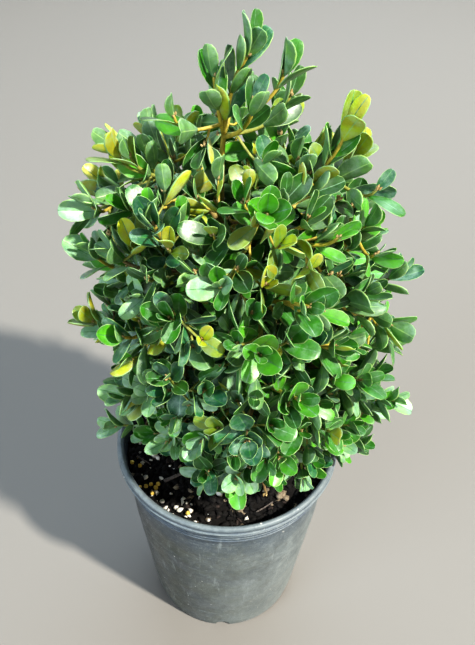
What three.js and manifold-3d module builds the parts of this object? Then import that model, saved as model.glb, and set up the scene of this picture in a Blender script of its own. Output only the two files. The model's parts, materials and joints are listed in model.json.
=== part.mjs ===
// A young boxwood grown as a loose cone, in the round plastic pot it was raised in.
// Millimetres, +Z up. The origin is the middle of the pot's underside, and the plant's front faces -Y.
import * as THREE from "three";
import { mergeVertices } from "three/addons/utils/BufferGeometryUtils.js";
import Module from "manifold-3d";

const wasm = await Module();
wasm.setup();

// Driving dimensions
const gap = 0.3; // clearance between pieces that would touch

const pot = {
  height: 187,
  rimRadius: 84,
  rimDepth: 7, // height of the rolled band round the rim
  rimLip: 3.2, // how far the band stands out of the wall
  collarDepth: 19, // the wider ring under the rim, which keeps nested pots apart
  collarStep: 1.6,
  baseRadius: 63,
  baseRound: 3,
  wall: 2,
  floor: 2.5,
  segments: 40,
  drains: 6,
  drainRadius: 6,
  drainSides: 10,
};

const soil = {
  belowRim: 15,
  sag: 4, // how much lower it lies at the wall than round the trunk
  humps: 1.1,
  rings: 3,
  flatRadius: 13, // level ground round the foot of the trunk
  segments: 24,
};
const soilTop = pot.height - soil.belowRim;

// The crown is an egg drawn out to a point. Its low part stands to the right of the pot's axis.
const crown = {
  foot: 170,
  top: 484,
  widest: 94,
  swell: 0.35, // a higher value narrows the foot
  taper: 0.6, // a higher value sharpens the top
  leanX: 24,
  leanY: 14,
  leanEnds: 0.7, // share of the crown's height at which the lean has gone
};

const trunk = {
  tip: 416,
  footRadius: 5.6,
  tipRadius: 2.3,
  flare: 3.4,
  flareHeight: 7,
  sway: 5,
  followsCrown: 0.1, // share of the crown's lean that the trunk takes
  sides: 8,
  steps: 10,
};

// Rings of boughs, each of which carries one mass of foliage
const tiers = [
  { name: "skirt", count: 7, firstAzimuth: 12, height: 222, rise: 0.6 },
  { name: "middle", count: 6, firstAzimuth: 42, height: 290, rise: 1.1 },
  { name: "shoulder", count: 5, firstAzimuth: 8, height: 356, rise: 1.4 },
  { name: "crest", count: 3, firstAzimuth: 60, height: 412, rise: 1.6 },
];
const leaderHeight = 458;

const mass = {
  depth: 0.54, // how far out its middle lies, as a share of the crown's reach
  rootShare: 0.46, // where its stem starts, on the way from the trunk to its middle
  rootDrop: 18, // how far that is below its middle
  rootRoom: 3, // and how far inside its own space
  coreDepth: 0.58, // how far out its dense inside reaches
  coreBelowTop: 46, // and how far short of the top it stops
  coreAboveRim: 6,
  stagger: 30, // how much neighbours in a tier differ in height
};

const bough = { baseRadius: 2.6, tipRadius: 1.7, sides: 5, steps: 3, spread: 20, aboveSoil: 10 };
const stem = { baseRadius: 1.7, tipRadius: 1, sides: 5, steps: 3 };
const twig = { baseRadius: 1.25, tipRadius: 0.9, sides: 3, steps: 2 };

const shoots = {
  count: 84,
  lowest: 186,
  highest: 446,
  shortest: 0.9, // reach of a tip, as a share of the crown's
  longest: 1.04,
  lift: 0.1, // how much the lowest ones point upwards
  liftGain: 1.25, // and how much more the highest do
  straight: 0.5, // length of the straight end of a shoot, as a share of the shoot
  firstBranch: 0.12, // where on the stem they leave it, as shares of its length
  lastBranch: 0.6,
};

// Shoots that grew on past the rest: azimuth from +X in degrees, height and reach of the tip
const longShoots = [
  { azimuth: 0, height: 477, reach: 5 },
  { azimuth: 200, height: 468, reach: 12 },
  { azimuth: 300, height: 460, reach: 18 },
  { azimuth: 10, height: 455, reach: 28 },
  { azimuth: 172, height: 446, reach: 30 },
  { azimuth: 90, height: 442, reach: 40 },
  { azimuth: 352, height: 428, reach: 62 },
  { azimuth: 178, height: 424, reach: 64 },
  { azimuth: 186, height: 388, reach: 80 },
  { azimuth: 356, height: 350, reach: 100 },
  { azimuth: 345, height: 262, reach: 112 },
];

const leaf = {
  length: 27,
  width: 15,
  fold: 1.6, // how far the edges stand above the root
  keel: 1, // how far the midrib hangs below it
  smallest: 0.85,
  cramped: 0.7, // size of a leaf that has no room to be larger
  apart: 11, // the least distance between the middles of two leaves
};

// The pairs of leaves on a shoot: distance back from its tip, and degrees between leaf and shoot
const pairs = [
  { back: 3, spread: 28 },
  { back: 14, spread: 50 },
  { back: 27, spread: 64 },
];

const clear = { cells: 1.6, leaves: 0.5, limbs: 2, soil: 1.5, rim: 3, belowRim: 32 };
const seed = 7;

const up = new THREE.Vector3(0, 0, 1);
const rightwards = new THREE.Vector3(1, 0, 0);
const goldenAngle = Math.PI * (3 - Math.sqrt(5));
const goldenShare = 0.618;
const radians = THREE.MathUtils.degToRad;
const clamp = THREE.MathUtils.clamp;

// Numbers between 0 and 1 in a fixed order
function seeded(start) {
  let state = start >>> 0;
  return () => {
    state = (state + 0x6d2b79f5) >>> 0;
    let x = Math.imul(state ^ (state >>> 15), 1 | state);
    x = (x + Math.imul(x ^ (x >>> 7), 61 | x)) ^ x;
    return ((x ^ (x >>> 14)) >>> 0) / 2 ** 32;
  };
}
const random = seeded(seed);
const between = (low, high) => low + (high - low) * random();

// Solids from geometries, and back
function solidOf(geometry) {
  const bare = geometry.clone();
  bare.deleteAttribute("normal");
  bare.deleteAttribute("uv");
  const merged = mergeVertices(bare, 1e-4);
  return new wasm.Manifold(
    new wasm.Mesh({
      numProp: 3,
      vertProperties: new Float32Array(merged.attributes.position.array),
      triVerts: new Uint32Array(merged.index.array),
    }),
  );
}

function geometryOf(solid) {
  const mesh = solid.getMesh();
  const positions = new Float32Array(mesh.numVert * 3);
  for (let i = 0; i < mesh.numVert; i++) {
    const from = i * mesh.numProp;
    positions.set(mesh.vertProperties.subarray(from, from + 3), i * 3);
  }
  const geometry = new THREE.BufferGeometry();
  geometry.setAttribute("position", new THREE.BufferAttribute(positions, 3));
  geometry.setIndex(new THREE.BufferAttribute(new Uint32Array(mesh.triVerts), 1));
  geometry.computeVertexNormals();
  return geometry;
}

// The largest body of a solid: loose scraps are dropped and sealed hollows are filled.
function mainBody(solid) {
  return solid.decompose().reduce((best, part) => (part.volume() > best.volume() ? part : best));
}

// A limb with flat ends along a curve, with its radius worked out from the share of the way along
function limbGeometry(curve, radiusAt, sides, steps) {
  const geometry = new THREE.CylinderGeometry(1, 1, 1, sides, steps);
  const start = curve.getTangentAt(0);
  const reference = new THREE.Vector3().crossVectors(start, Math.abs(start.z) < 0.9 ? up : rightwards);
  const place = geometry.attributes.position;
  for (let i = 0; i < place.count; i++) {
    const share = clamp(place.getY(i) + 0.5, 0, 1);
    const tangent = curve.getTangentAt(share);
    const across = reference.clone().addScaledVector(tangent, -reference.dot(tangent)).normalize();
    const other = new THREE.Vector3().crossVectors(tangent, across);
    const point = curve.getPointAt(share);
    point.addScaledVector(other, place.getX(i) * radiusAt(share));
    point.addScaledVector(across, place.getZ(i) * radiusAt(share));
    place.setXYZ(i, point.x, point.y, point.z);
  }
  return geometry;
}

const tapered = (from, to) => (share) => from + (to - from) * share;
const bend = (from, through, to) => new THREE.QuadraticBezierCurve3(from, through, to);
const outwards = (azimuth) => new THREE.Vector3(Math.cos(azimuth), Math.sin(azimuth), 0);

// The room that a limb needs: its own shape with the gap all round, measured square to its faces
function limbRoom(curve, radiusAt, sides, steps) {
  const clearance = gap / Math.cos(Math.PI / sides);
  return solidOf(limbGeometry(curve, (share) => radiusAt(share) + clearance, sides, steps));
}

// Crown
function heightShare(height) {
  return clamp((height - crown.foot) / (crown.top - crown.foot), 0, 1);
}

function crownReach(height) {
  const share = heightShare(height);
  const widestAt = crown.swell / (crown.swell + crown.taper);
  const below = (share / widestAt) ** crown.swell;
  const above = ((1 - share) / (1 - widestAt)) ** crown.taper;
  return crown.widest * below * above;
}

function crownMiddle(height) {
  const lean = Math.max(0, 1 - heightShare(height) / crown.leanEnds);
  return new THREE.Vector3(crown.leanX * lean, crown.leanY * lean, height);
}

function crownPoint(azimuth, height, share) {
  return crownMiddle(height).addScaledVector(outwards(azimuth), crownReach(height) * share);
}

// How far out a point lies, as a share of the crown's reach at its height
function depthOf(point) {
  return point.distanceTo(crownMiddle(point.z)) / Math.max(crownReach(point.z), 1);
}

// Trunk
function trunkPoint(height) {
  const share = (height - soilTop) / (trunk.tip - soilTop);
  const lean = crownMiddle(height).sub(crownMiddle(soilTop)).multiplyScalar(trunk.followsCrown);
  const swayX = trunk.sway * Math.sin(share * Math.PI * 1.6);
  const swayY = 0.6 * trunk.sway * Math.sin(share * Math.PI * 2.3);
  return new THREE.Vector3(lean.x + swayX, lean.y + swayY, height);
}

function trunkCurve(tip) {
  const foot = soilTop + gap;
  const points = [];
  for (let i = 0; i <= trunk.steps; i++) points.push(trunkPoint(foot + ((tip - foot) * i) / trunk.steps));
  return new THREE.CatmullRomCurve3(points);
}

function trunkRadius(share) {
  const flare = trunk.flare * Math.exp((-share * (trunk.tip - soilTop)) / trunk.flareHeight);
  return trunk.footRadius + (trunk.tipRadius - trunk.footRadius) * share + flare;
}

const trunkLine = trunkCurve(trunk.tip);
const trunkRoom = limbRoom(trunkCurve(trunk.tip + gap), trunkRadius, trunk.sides, trunk.steps);

// A leaning foot is trimmed level, just above the soil.
function trunkSolid() {
  const whole = solidOf(limbGeometry(trunkLine, trunkRadius, trunk.sides, trunk.steps));
  const size = 8 * trunk.footRadius;
  const below = new THREE.BoxGeometry(size, size, size).translate(0, 0, soilTop + gap - size / 2);
  return whole.subtract(solidOf(below));
}

// Places of the masses
const leader = { name: "leader", middle: new THREE.Vector3(0, 0, leaderHeight) };
const masses = [leader];
for (const tier of tiers) {
  for (let i = 0; i < tier.count; i++) {
    const azimuth = radians(tier.firstAzimuth) + (2 * Math.PI * i) / tier.count;
    const lift = (i * goldenShare) % 1;
    const height = tier.height + (lift - 0.5) * mass.stagger;
    const middle = crownPoint(azimuth, height, mass.depth);
    masses.push({ name: `${tier.name}_${i + 1}`, middle, lift, rise: tier.rise });
  }
}

// A point belongs to the mass whose middle is nearest. The room it has there is its distance from
// the nearest of the planes that lie half way to the other middles.
function roomIn(point, owner) {
  const own = point.distanceToSquared(owner.middle);
  let room = Infinity;
  for (const other of masses) {
    if (other === owner) continue;
    const further = point.distanceToSquared(other.middle) - own;
    room = Math.min(room, further / (2 * other.middle.distanceTo(owner.middle)));
  }
  return room;
}

const ownerOf = (point) => masses.find((one) => roomIn(point, one) >= 0);

// Boughs
const boughRadius = tapered(bough.baseRadius, bough.tipRadius);

// A bough leaves the trunk lower than its mass, turns outwards and ends in the mass's own space.
function growBough(one) {
  const beside = trunkPoint(one.middle.z - mass.rootDrop);
  const below = one.middle.clone().setZ(beside.z);
  let share = mass.rootShare;
  one.root = beside.clone().lerp(below, share);
  while (roomIn(one.root, one) < mass.rootRoom && share < 1) {
    share += 0.05;
    one.root = beside.clone().lerp(one.middle, share);
  }
  one.inwards = beside.sub(below).normalize();
  one.ahead = one.middle.clone().sub(one.root).normalize();
  const run = Math.hypot(one.root.x, one.root.y);
  const lowest = soilTop + bough.aboveSoil;
  const start = trunkPoint(Math.max(one.root.z - run * one.rise, lowest) + one.lift * bough.spread);
  const elbow = one.root.clone().addScaledVector(one.ahead, -0.5 * start.distanceTo(one.root));
  const past = one.root.clone().addScaledVector(one.ahead, gap);
  one.boughLine = bend(start, elbow, one.root);
  one.boughRoom = limbRoom(bend(start, elbow, past), boughRadius, bough.sides, bough.steps);
  const whole = solidOf(limbGeometry(one.boughLine, boughRadius, bough.sides, bough.steps));
  one.bough = mainBody(whole.subtract(trunkRoom));
}

for (const one of masses) {
  if (one !== leader) growBough(one);
}

// Balls strung along the limbs, which leaves and twigs keep clear of
const ballsPerLimb = 30;
const limbBalls = [];
function addBalls(line, radiusAt) {
  for (let i = 0; i <= ballsPerLimb; i++) {
    const share = i / ballsPerLimb;
    limbBalls.push({ at: line.getPointAt(share), radius: radiusAt(share) });
  }
}
addBalls(trunkLine, trunkRadius);
for (const one of masses) {
  if (one !== leader) addBalls(one.boughLine, boughRadius);
}

function clearOfLimbs(point) {
  return limbBalls.every((ball) => point.distanceTo(ball.at) > ball.radius + clear.limbs);
}

function clearOfPot(point) {
  const fromAxis = Math.hypot(point.x, point.y);
  if (fromAxis > pot.rimRadius + clear.rim) return point.z > pot.height - clear.belowRim;
  const inside = fromAxis < pot.rimRadius - pot.rimLip - pot.wall - clear.rim;
  return point.z > (inside ? soilTop : pot.height) + clear.soil;
}

// Tips of the shoots, dealt out evenly over the crown by the golden angle
function shootTips() {
  const slices = 60;
  const heights = [];
  const area = [0];
  for (let i = 0; i <= slices; i++) {
    heights.push(shoots.lowest + ((shoots.highest - shoots.lowest) * i) / slices);
  }
  for (let i = 0; i < slices; i++) {
    const [low, high] = [crownReach(heights[i]), crownReach(heights[i + 1])];
    area.push(area[i] + (low + high) * Math.hypot(high - low, heights[i + 1] - heights[i]));
  }
  const tips = [];
  for (let k = 0; k < shoots.count; k++) {
    const wanted = (area[slices] * (k + 0.5)) / shoots.count;
    const slice = area.findIndex((sum) => sum > wanted) - 1;
    const part = (wanted - area[slice]) / (area[slice + 1] - area[slice]);
    const height = heights[slice] + (heights[slice + 1] - heights[slice]) * part;
    tips.push(crownPoint(k * goldenAngle, height, between(shoots.shortest, shoots.longest)));
  }
  for (const long of longShoots) {
    tips.push(outwards(radians(long.azimuth)).multiplyScalar(long.reach).setZ(long.height));
  }
  return tips;
}

// A shoot's end points outwards low in the crown, and upwards near its top.
function shootDirection(tip) {
  const share = heightShare(tip.z);
  const out = tip.clone().sub(crownMiddle(tip.z));
  if (out.length() > 0) out.normalize().multiplyScalar(Math.min(1, depthOf(tip)) * (1 - 0.75 * share ** 2));
  return out.addScaledVector(up, shoots.lift + shoots.liftGain * share).normalize();
}

// One leaf: a shallow boat of eight faces, with its root in the middle of the twig
function leafGeometry(root, along, upperSide, size) {
  const across = new THREE.Vector3().crossVectors(along, upperSide).normalize();
  const at = (share, side, lift) => {
    const point = root.clone().addScaledVector(along, share * leaf.length * size);
    point.addScaledVector(across, (side * leaf.width * size) / 2);
    return point.addScaledVector(upperSide, lift);
  };
  const points = [
    at(0, 0, 0),
    at(0.5, 1, leaf.fold),
    at(0.96, 0.42, 0.4 * leaf.fold),
    at(0.96, -0.42, 0.4 * leaf.fold),
    at(0.5, -1, leaf.fold),
    at(0.55, 0, -leaf.keel),
  ];
  const upper = [0, 1, 4, 1, 2, 3, 1, 3, 4];
  const lower = [5, 1, 0, 5, 2, 1, 5, 3, 2, 5, 4, 3, 5, 0, 4];
  const geometry = new THREE.BufferGeometry().setFromPoints(points);
  geometry.setIndex([...upper, ...lower]);
  return { geometry, edge: points.slice(1), middle: points[5] };
}

// A leaf is skipped if it would leave its mass, touch a limb or lie on another leaf.
function fits(one, owner, grown) {
  if (grown.some((other) => other.middle.distanceTo(one.middle) < leaf.apart)) return false;
  return one.edge.every((p) => roomIn(p, owner) > clear.leaves && clearOfPot(p) && clearOfLimbs(p));
}

// A shoot's leaves stand in pairs, each pair a quarter turn on from the last.
function growLeaves(line, owner, grown) {
  const made = [];
  const length = line.getLength();
  let turn = between(0, Math.PI);
  for (const pair of pairs) {
    turn += Math.PI / 2;
    if (pair.back > length - 2) continue;
    const root = line.getPointAt(1 - pair.back / length);
    const tangent = line.getTangentAt(1 - pair.back / length);
    const side = new THREE.Vector3().crossVectors(tangent, up).normalize().applyAxisAngle(tangent, turn);
    for (const sign of [1, -1]) {
      const spread = radians(pair.spread * between(0.85, 1.15));
      const size = between(leaf.smallest, 1);
      const along = tangent.clone().multiplyScalar(Math.cos(spread));
      along.addScaledVector(side, sign * Math.sin(spread));
      const upperSide = tangent.clone().addScaledVector(along, -tangent.dot(along)).normalize();
      const sized = (scale) => leafGeometry(root, along, upperSide, size * scale);
      const fitting = [sized(1), sized(leaf.cramped)].find((one) => fits(one, owner, grown));
      if (fitting) made.push(fitting);
    }
  }
  return made;
}

// The dense inside of a mass: a ball drawn out in every direction as far as its space goes
function coreSolid(owner) {
  const ball = new THREE.IcosahedronGeometry(1, 1);
  ball.deleteAttribute("normal");
  ball.deleteAttribute("uv");
  const geometry = mergeVertices(ball, 1e-4);
  const inside = (point) => {
    if (owner !== leader && point.clone().sub(owner.root).dot(owner.inwards) > 0) return false;
    if (point.z > crown.top - mass.coreBelowTop || point.z < pot.height + mass.coreAboveRim) return false;
    return roomIn(point, owner) > clear.leaves && depthOf(point) < mass.coreDepth;
  };
  const place = geometry.attributes.position;
  for (let i = 0; i < place.count; i++) {
    const direction = new THREE.Vector3().fromBufferAttribute(place, i).normalize();
    const end = owner.middle.clone();
    while (inside(end)) end.add(direction);
    end.sub(direction);
    place.setXYZ(i, end.x, end.y, end.z);
  }
  return solidOf(geometry);
}

// The line of a shoot from its stem to its tip, or nothing where it would stray or touch a limb
function shootLine(branch, tip, owner) {
  const straight = shoots.straight * branch.distanceTo(tip);
  const through = tip.clone().addScaledVector(shootDirection(tip), -straight);
  const halfWay = branch.clone().lerp(tip, 0.5);
  const lines = [bend(branch, through, tip), bend(branch, halfWay, tip)];
  return lines.find((line) => {
    const points = line.getPoints(10);
    if (points.some((p) => roomIn(p, owner) < clear.cells || !clearOfPot(p))) return false;
    return points.slice(3).every(clearOfLimbs);
  });
}

// A mass: a stem that grows on from its bough, shoots that leave it, their leaves, and the core
function growMass(owner, tips) {
  const from = owner === leader ? trunkLine.getPointAt(1) : owner.root;
  const ahead = owner === leader ? trunkLine.getTangentAt(1) : owner.ahead;
  const start = from.clone().addScaledVector(ahead, gap);
  const straightness = (tip) => tip.clone().sub(start).normalize().dot(ahead);
  const [mainTip, ...otherTips] = [...tips].sort((a, b) => straightness(b) - straightness(a));
  const elbow = start.clone().addScaledVector(ahead, start.distanceTo(owner.middle));
  const stemLine = bend(start, elbow, mainTip);
  const thickness = tapered(owner === leader ? trunk.tipRadius : stem.baseRadius, stem.tipRadius);
  const pieces = [solidOf(limbGeometry(stemLine, thickness, stem.sides, stem.steps)), coreSolid(owner)];
  const twigRadius = tapered(twig.baseRadius, twig.tipRadius);
  const leaves = growLeaves(stemLine, owner, []);
  for (const tip of otherTips) {
    const share = start.distanceTo(tip) / start.distanceTo(mainTip);
    const branch = stemLine.getPointAt(clamp(0.5 * share - 0.15, shoots.firstBranch, shoots.lastBranch));
    const line = shootLine(branch, tip, owner);
    if (!line) continue;
    pieces.push(solidOf(limbGeometry(line, twigRadius, twig.sides, twig.steps)));
    leaves.push(...growLeaves(line, owner, leaves));
  }
  let grown = wasm.Manifold.union([...pieces, ...leaves.map((one) => solidOf(one.geometry))]);
  grown = grown.subtract(trunkRoom);
  for (const other of masses) {
    if (other !== leader) grown = grown.subtract(other.boughRoom);
  }
  return mainBody(grown);
}

// Pot
const wallTop = pot.height - pot.rimDepth - pot.collarDepth;
const bandFoot = pot.height - pot.rimDepth;

// The wall's slope, as the collar's outer radius at any height
function slopeRadius(height) {
  const top = pot.rimRadius - pot.rimLip;
  return pot.baseRadius + ((top - pot.baseRadius) * height) / bandFoot;
}

function potProfile() {
  const profile = new THREE.Path();
  const inner = (height, step) => profile.lineTo(slopeRadius(height) - step - pot.wall, height);
  profile.moveTo(0, 0);
  profile.lineTo(pot.baseRadius - pot.baseRound, 0);
  profile.quadraticCurveTo(pot.baseRadius, 0, slopeRadius(pot.baseRound), pot.baseRound);
  profile.lineTo(slopeRadius(wallTop) - pot.collarStep, wallTop);
  profile.lineTo(slopeRadius(wallTop), wallTop + pot.collarStep);
  profile.lineTo(slopeRadius(bandFoot), bandFoot);
  profile.lineTo(pot.rimRadius, bandFoot);
  profile.lineTo(pot.rimRadius - 0.6, pot.height - 1.6);
  profile.quadraticCurveTo(pot.rimRadius - 0.8, pot.height, pot.rimRadius - 2.6, pot.height);
  profile.lineTo(pot.rimRadius - pot.rimLip - pot.wall, pot.height - 0.8);
  inner(wallTop + pot.collarStep, 0);
  inner(wallTop, pot.collarStep);
  inner(pot.floor, 0);
  profile.lineTo(0, pot.floor);
  return profile.getPoints(2);
}

// A profile of radius and height, turned round the pot's axis
function turned(profile, segments) {
  return new THREE.LatheGeometry(profile, segments).rotateX(Math.PI / 2);
}

// Holes let water out where the wall meets the base.
function potSolid() {
  let solid = solidOf(turned(potProfile(), pot.segments));
  for (let i = 0; i < pot.drains; i++) {
    const azimuth = ((i + 0.5) * 2 * Math.PI) / pot.drains;
    const place = outwards(azimuth).multiplyScalar(pot.baseRadius);
    const drill = new THREE.CylinderGeometry(pot.drainRadius, pot.drainRadius, 24, pot.drainSides);
    drill.rotateZ(Math.PI / 2 + azimuth).translate(place.x, place.y, pot.floor);
    solid = solid.subtract(solidOf(drill));
  }
  return solid;
}

// Potting mix: it fills the pot, level round the trunk and a little uneven towards the wall.
function soilGeometry() {
  const edge = soilTop - soil.sag;
  const base = pot.floor + gap;
  const wallAt = (height, step) => slopeRadius(height) - step - pot.wall - 2 * gap;
  const rim = wallAt(wallTop + pot.collarStep, 0);
  const profile = [
    new THREE.Vector2(0, base),
    new THREE.Vector2(wallAt(base, 0), base),
    new THREE.Vector2(wallAt(wallTop, pot.collarStep), wallTop),
    new THREE.Vector2(rim, wallTop + 2 * pot.collarStep),
    new THREE.Vector2(rim, edge),
  ];
  for (let i = 1; i <= soil.rings; i++) {
    const share = i / (soil.rings + 1);
    const radius = rim + (soil.flatRadius - rim) * share;
    profile.push(new THREE.Vector2(radius, edge + soil.sag * Math.sin((share * Math.PI) / 2)));
  }
  profile.push(new THREE.Vector2(soil.flatRadius, soilTop), new THREE.Vector2(0, soilTop));
  const geometry = turned(profile, soil.segments);
  const place = geometry.attributes.position;
  for (let i = 0; i < place.count; i++) {
    const [x, y, z] = [place.getX(i), place.getY(i), place.getZ(i)];
    if (z < edge + 0.1 || Math.hypot(x, y) < soil.flatRadius + 1) continue;
    place.setZ(i, z + soil.humps * Math.sin(x * 0.13 + 1) * Math.cos(y * 0.17 + 2));
  }
  return geometry;
}

// Assembly
const coat = (color, roughness) => new THREE.MeshStandardMaterial({ color, roughness, metalness: 0 });
const potPlastic = coat(0x5b6366, 0.62);
const pottingMix = coat(0x2b211b, 0.97);
const bark = coat(0x8a7048, 0.9);
const foliageGreen = coat(0x3f7d34, 0.42);

function named(name, geometry, material) {
  const mesh = new THREE.Mesh(geometry, material);
  mesh.name = name;
  return mesh;
}

const container = new THREE.Group();
container.add(named("pot", geometryOf(potSolid()), potPlastic));
container.add(named("potting_soil", soilGeometry(), pottingMix));

const limbs = new THREE.Group();
const foliage = new THREE.Group();
limbs.add(named("trunk", geometryOf(trunkSolid()), bark));
const tips = shootTips();
for (const one of masses) {
  if (one !== leader) limbs.add(named(`bough_${one.name}`, geometryOf(one.bough), bark));
  const own = tips.filter((tip) => ownerOf(tip) === one);
  foliage.add(named(`foliage_${one.name}`, geometryOf(growMass(one, own)), foliageGreen));
}

const boxwood = new THREE.Group();
boxwood.add(container, limbs, foliage);

export default boxwood;
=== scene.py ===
# A young boxwood grown as a loose cone, in its nursery pot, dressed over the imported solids.
# The plant's growth is worked out in millimetres and its meshes are made in metres.
import json
import math

import bmesh
import bpy
import numpy as np
from mathutils import Matrix, Quaternion, Vector, noise

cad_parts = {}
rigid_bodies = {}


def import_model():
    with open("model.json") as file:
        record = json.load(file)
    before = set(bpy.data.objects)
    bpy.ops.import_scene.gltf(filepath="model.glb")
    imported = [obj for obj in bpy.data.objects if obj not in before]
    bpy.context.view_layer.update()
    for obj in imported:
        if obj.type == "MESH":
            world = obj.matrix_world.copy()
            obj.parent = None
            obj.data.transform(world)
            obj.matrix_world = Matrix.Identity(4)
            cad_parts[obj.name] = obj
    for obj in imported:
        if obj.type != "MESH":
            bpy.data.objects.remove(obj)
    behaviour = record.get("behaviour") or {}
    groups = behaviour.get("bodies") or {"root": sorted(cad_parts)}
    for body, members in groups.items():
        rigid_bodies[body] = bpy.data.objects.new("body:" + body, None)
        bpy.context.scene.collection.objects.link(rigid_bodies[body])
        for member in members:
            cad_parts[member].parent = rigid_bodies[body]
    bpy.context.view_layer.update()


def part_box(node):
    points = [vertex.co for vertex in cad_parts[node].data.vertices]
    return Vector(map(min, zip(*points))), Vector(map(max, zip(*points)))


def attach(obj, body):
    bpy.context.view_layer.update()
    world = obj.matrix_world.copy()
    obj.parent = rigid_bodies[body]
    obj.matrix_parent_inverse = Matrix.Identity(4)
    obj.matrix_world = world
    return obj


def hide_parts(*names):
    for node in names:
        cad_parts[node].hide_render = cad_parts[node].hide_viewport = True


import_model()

mm = 0.001
goldenAngle = math.pi * (3 - math.sqrt(5))
goldenShare = 0.618
up = np.array([0.0, 0.0, 1.0])


# Helpers for meshes

def newObject(name, data):
    found = bpy.data.objects.new(name, data)
    bpy.context.scene.collection.objects.link(found)
    return found


def newMesh(name, vertices, faces):
    mesh = bpy.data.meshes.new(name)
    mesh.from_pydata(vertices, [], faces)
    mesh.shade_smooth()
    return mesh


def joinedMesh(name, parts, materials):
    # Each part holds its vertices in millimetres, its faces and the number of its material.
    vertices, faces, kinds, offset = [], [], [], 0
    for points, corners, kind in parts:
        vertices.append(points)
        faces.extend([tuple(i + offset for i in face) for face in corners])
        kinds.extend([kind] * len(corners))
        offset += len(points)
    mesh = newMesh(name, (np.concatenate(vertices) * mm).tolist(), faces)
    for material in materials:
        mesh.materials.append(material)
    mesh.polygons.foreach_set("material_index", kinds)
    mesh.update()
    return newObject(name, mesh)


# Faces over rings of vertices, closed by fans on two vertices that follow the last ring
def ringFaces(count, sides):
    faces = []
    for ring in range(0, (count - 1) * sides, sides):
        for j in range(sides):
            k = (j + 1) % sides
            faces.append((ring + j, ring + k, ring + sides + k, ring + sides + j))
    first, top = count * sides, (count - 1) * sides
    for j in range(sides):
        k = (j + 1) % sides
        faces.append((first, k, j))
        faces.append((first + 1, top + j, top + k))
    return faces


def turnedPart(profile, segments):
    # A closed profile of (radius, height) that starts and ends on the axis, from the bottom up
    angles = np.linspace(0, 2 * math.pi, segments, endpoint=False)
    rings = [(r, z) for r, z in profile if r > 0]
    points = []
    for r, z in rings:
        points.append(np.stack([r * np.cos(angles), r * np.sin(angles), np.full(segments, z)], axis=1))
    vertices = np.concatenate([*points, [[0, 0, profile[0][1]]], [[0, 0, profile[-1][1]]]])
    return vertices, ringFaces(len(rings), segments), 0


# Helpers for materials

def newMaterial(name, color, roughness, specular=0.5, coat=0.0, subsurface=0.0):
    material = bpy.data.materials.new(name)
    material.use_nodes = True
    shader = material.node_tree.nodes["Principled BSDF"]
    shader.inputs["Base Color"].default_value = (*color, 1)
    shader.inputs["Roughness"].default_value = roughness
    shader.inputs["Specular IOR Level"].default_value = specular
    shader.inputs["Coat Weight"].default_value = coat
    shader.inputs["Coat Roughness"].default_value = 0.4
    if subsurface:
        shader.inputs["Subsurface Weight"].default_value = subsurface
        shader.inputs["Subsurface Radius"].default_value = (0.6, 1.0, 0.15)
        shader.inputs["Subsurface Scale"].default_value = 0.002
    return material, material.node_tree, shader


# A node with its settings and inputs. An input is a plain value or another node's output.
def nodeOutput(tree, kind, inputs, output, **settings):
    node = tree.nodes.new(kind)
    for name, value in settings.items():
        setattr(node, name, value)
    for name, value in inputs.items():
        if isinstance(value, bpy.types.NodeSocket):
            tree.links.new(value, node.inputs[name])
        else:
            node.inputs[name].default_value = value
    return node.outputs[output]


def place(tree):
    return nodeOutput(tree, "ShaderNodeTexCoord", {}, "Object")


def axis(tree, name):
    return nodeOutput(tree, "ShaderNodeSeparateXYZ", {"Vector": place(tree)}, name)


def noiseNode(tree, scale, detail, roughness=0.55, stretch=(1, 1, 1)):
    spot = nodeOutput(tree, "ShaderNodeMapping", {"Scale": stretch, "Vector": place(tree)}, "Vector")
    values = {"Scale": scale, "Detail": detail, "Roughness": roughness, "Vector": spot}
    return nodeOutput(tree, "ShaderNodeTexNoise", values, "Fac")


def ramp(tree, factor, stops):
    node = tree.nodes.new("ShaderNodeValToRGB")
    elements = node.color_ramp.elements
    while len(elements) < len(stops):
        elements.new(0.5)
    for element, (position, color) in zip(elements, stops):
        element.position = position
        element.color = (*color, 1)
    tree.links.new(factor, node.inputs["Fac"])
    return node.outputs["Color"]


# A plain colour takes an alpha of 1. The numbers are those of the node's colour sockets.
def mixed(tree, factor, first, second):
    first, second = (c if isinstance(c, bpy.types.NodeSocket) else (*c, 1) for c in (first, second))
    return nodeOutput(tree, "ShaderNodeMix", {0: factor, 6: first, 7: second}, 2, data_type="RGBA")


def remapped(tree, value, low, high, start=0.0, end=1.0):
    inputs = {"Value": value, "From Min": low, "From Max": high, "To Min": start, "To Max": end}
    return nodeOutput(tree, "ShaderNodeMapRange", inputs, "Result")


# A noise texture (scale, detail, roughness, stretch) brought to the levels that its use needs
def pattern(tree, texture, levels):
    return remapped(tree, noiseNode(tree, *texture), *levels)


def combined(tree, first, second, kind="ShaderNodeMath", operation="MULTIPLY"):
    return nodeOutput(tree, kind, {0: first, 1: second}, 0, operation=operation)


def painted(tree, shader, color, texture, strength, depth):
    inputs = {"Strength": strength, "Distance": depth, "Height": noiseNode(tree, *texture)}
    tree.links.new(nodeOutput(tree, "ShaderNodeBump", inputs, "Normal"), shader.inputs["Normal"])
    tree.links.new(color, shader.inputs["Base Color"])


# Camera, floor and light

cameraView = {
    "position": (0, -339.1, 608.4),
    "azimuth": 0.77,  # degrees to the right of +Y
    "down": 42.18,
    "roll": 1.97,
    "lens": 39.07,
}

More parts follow.
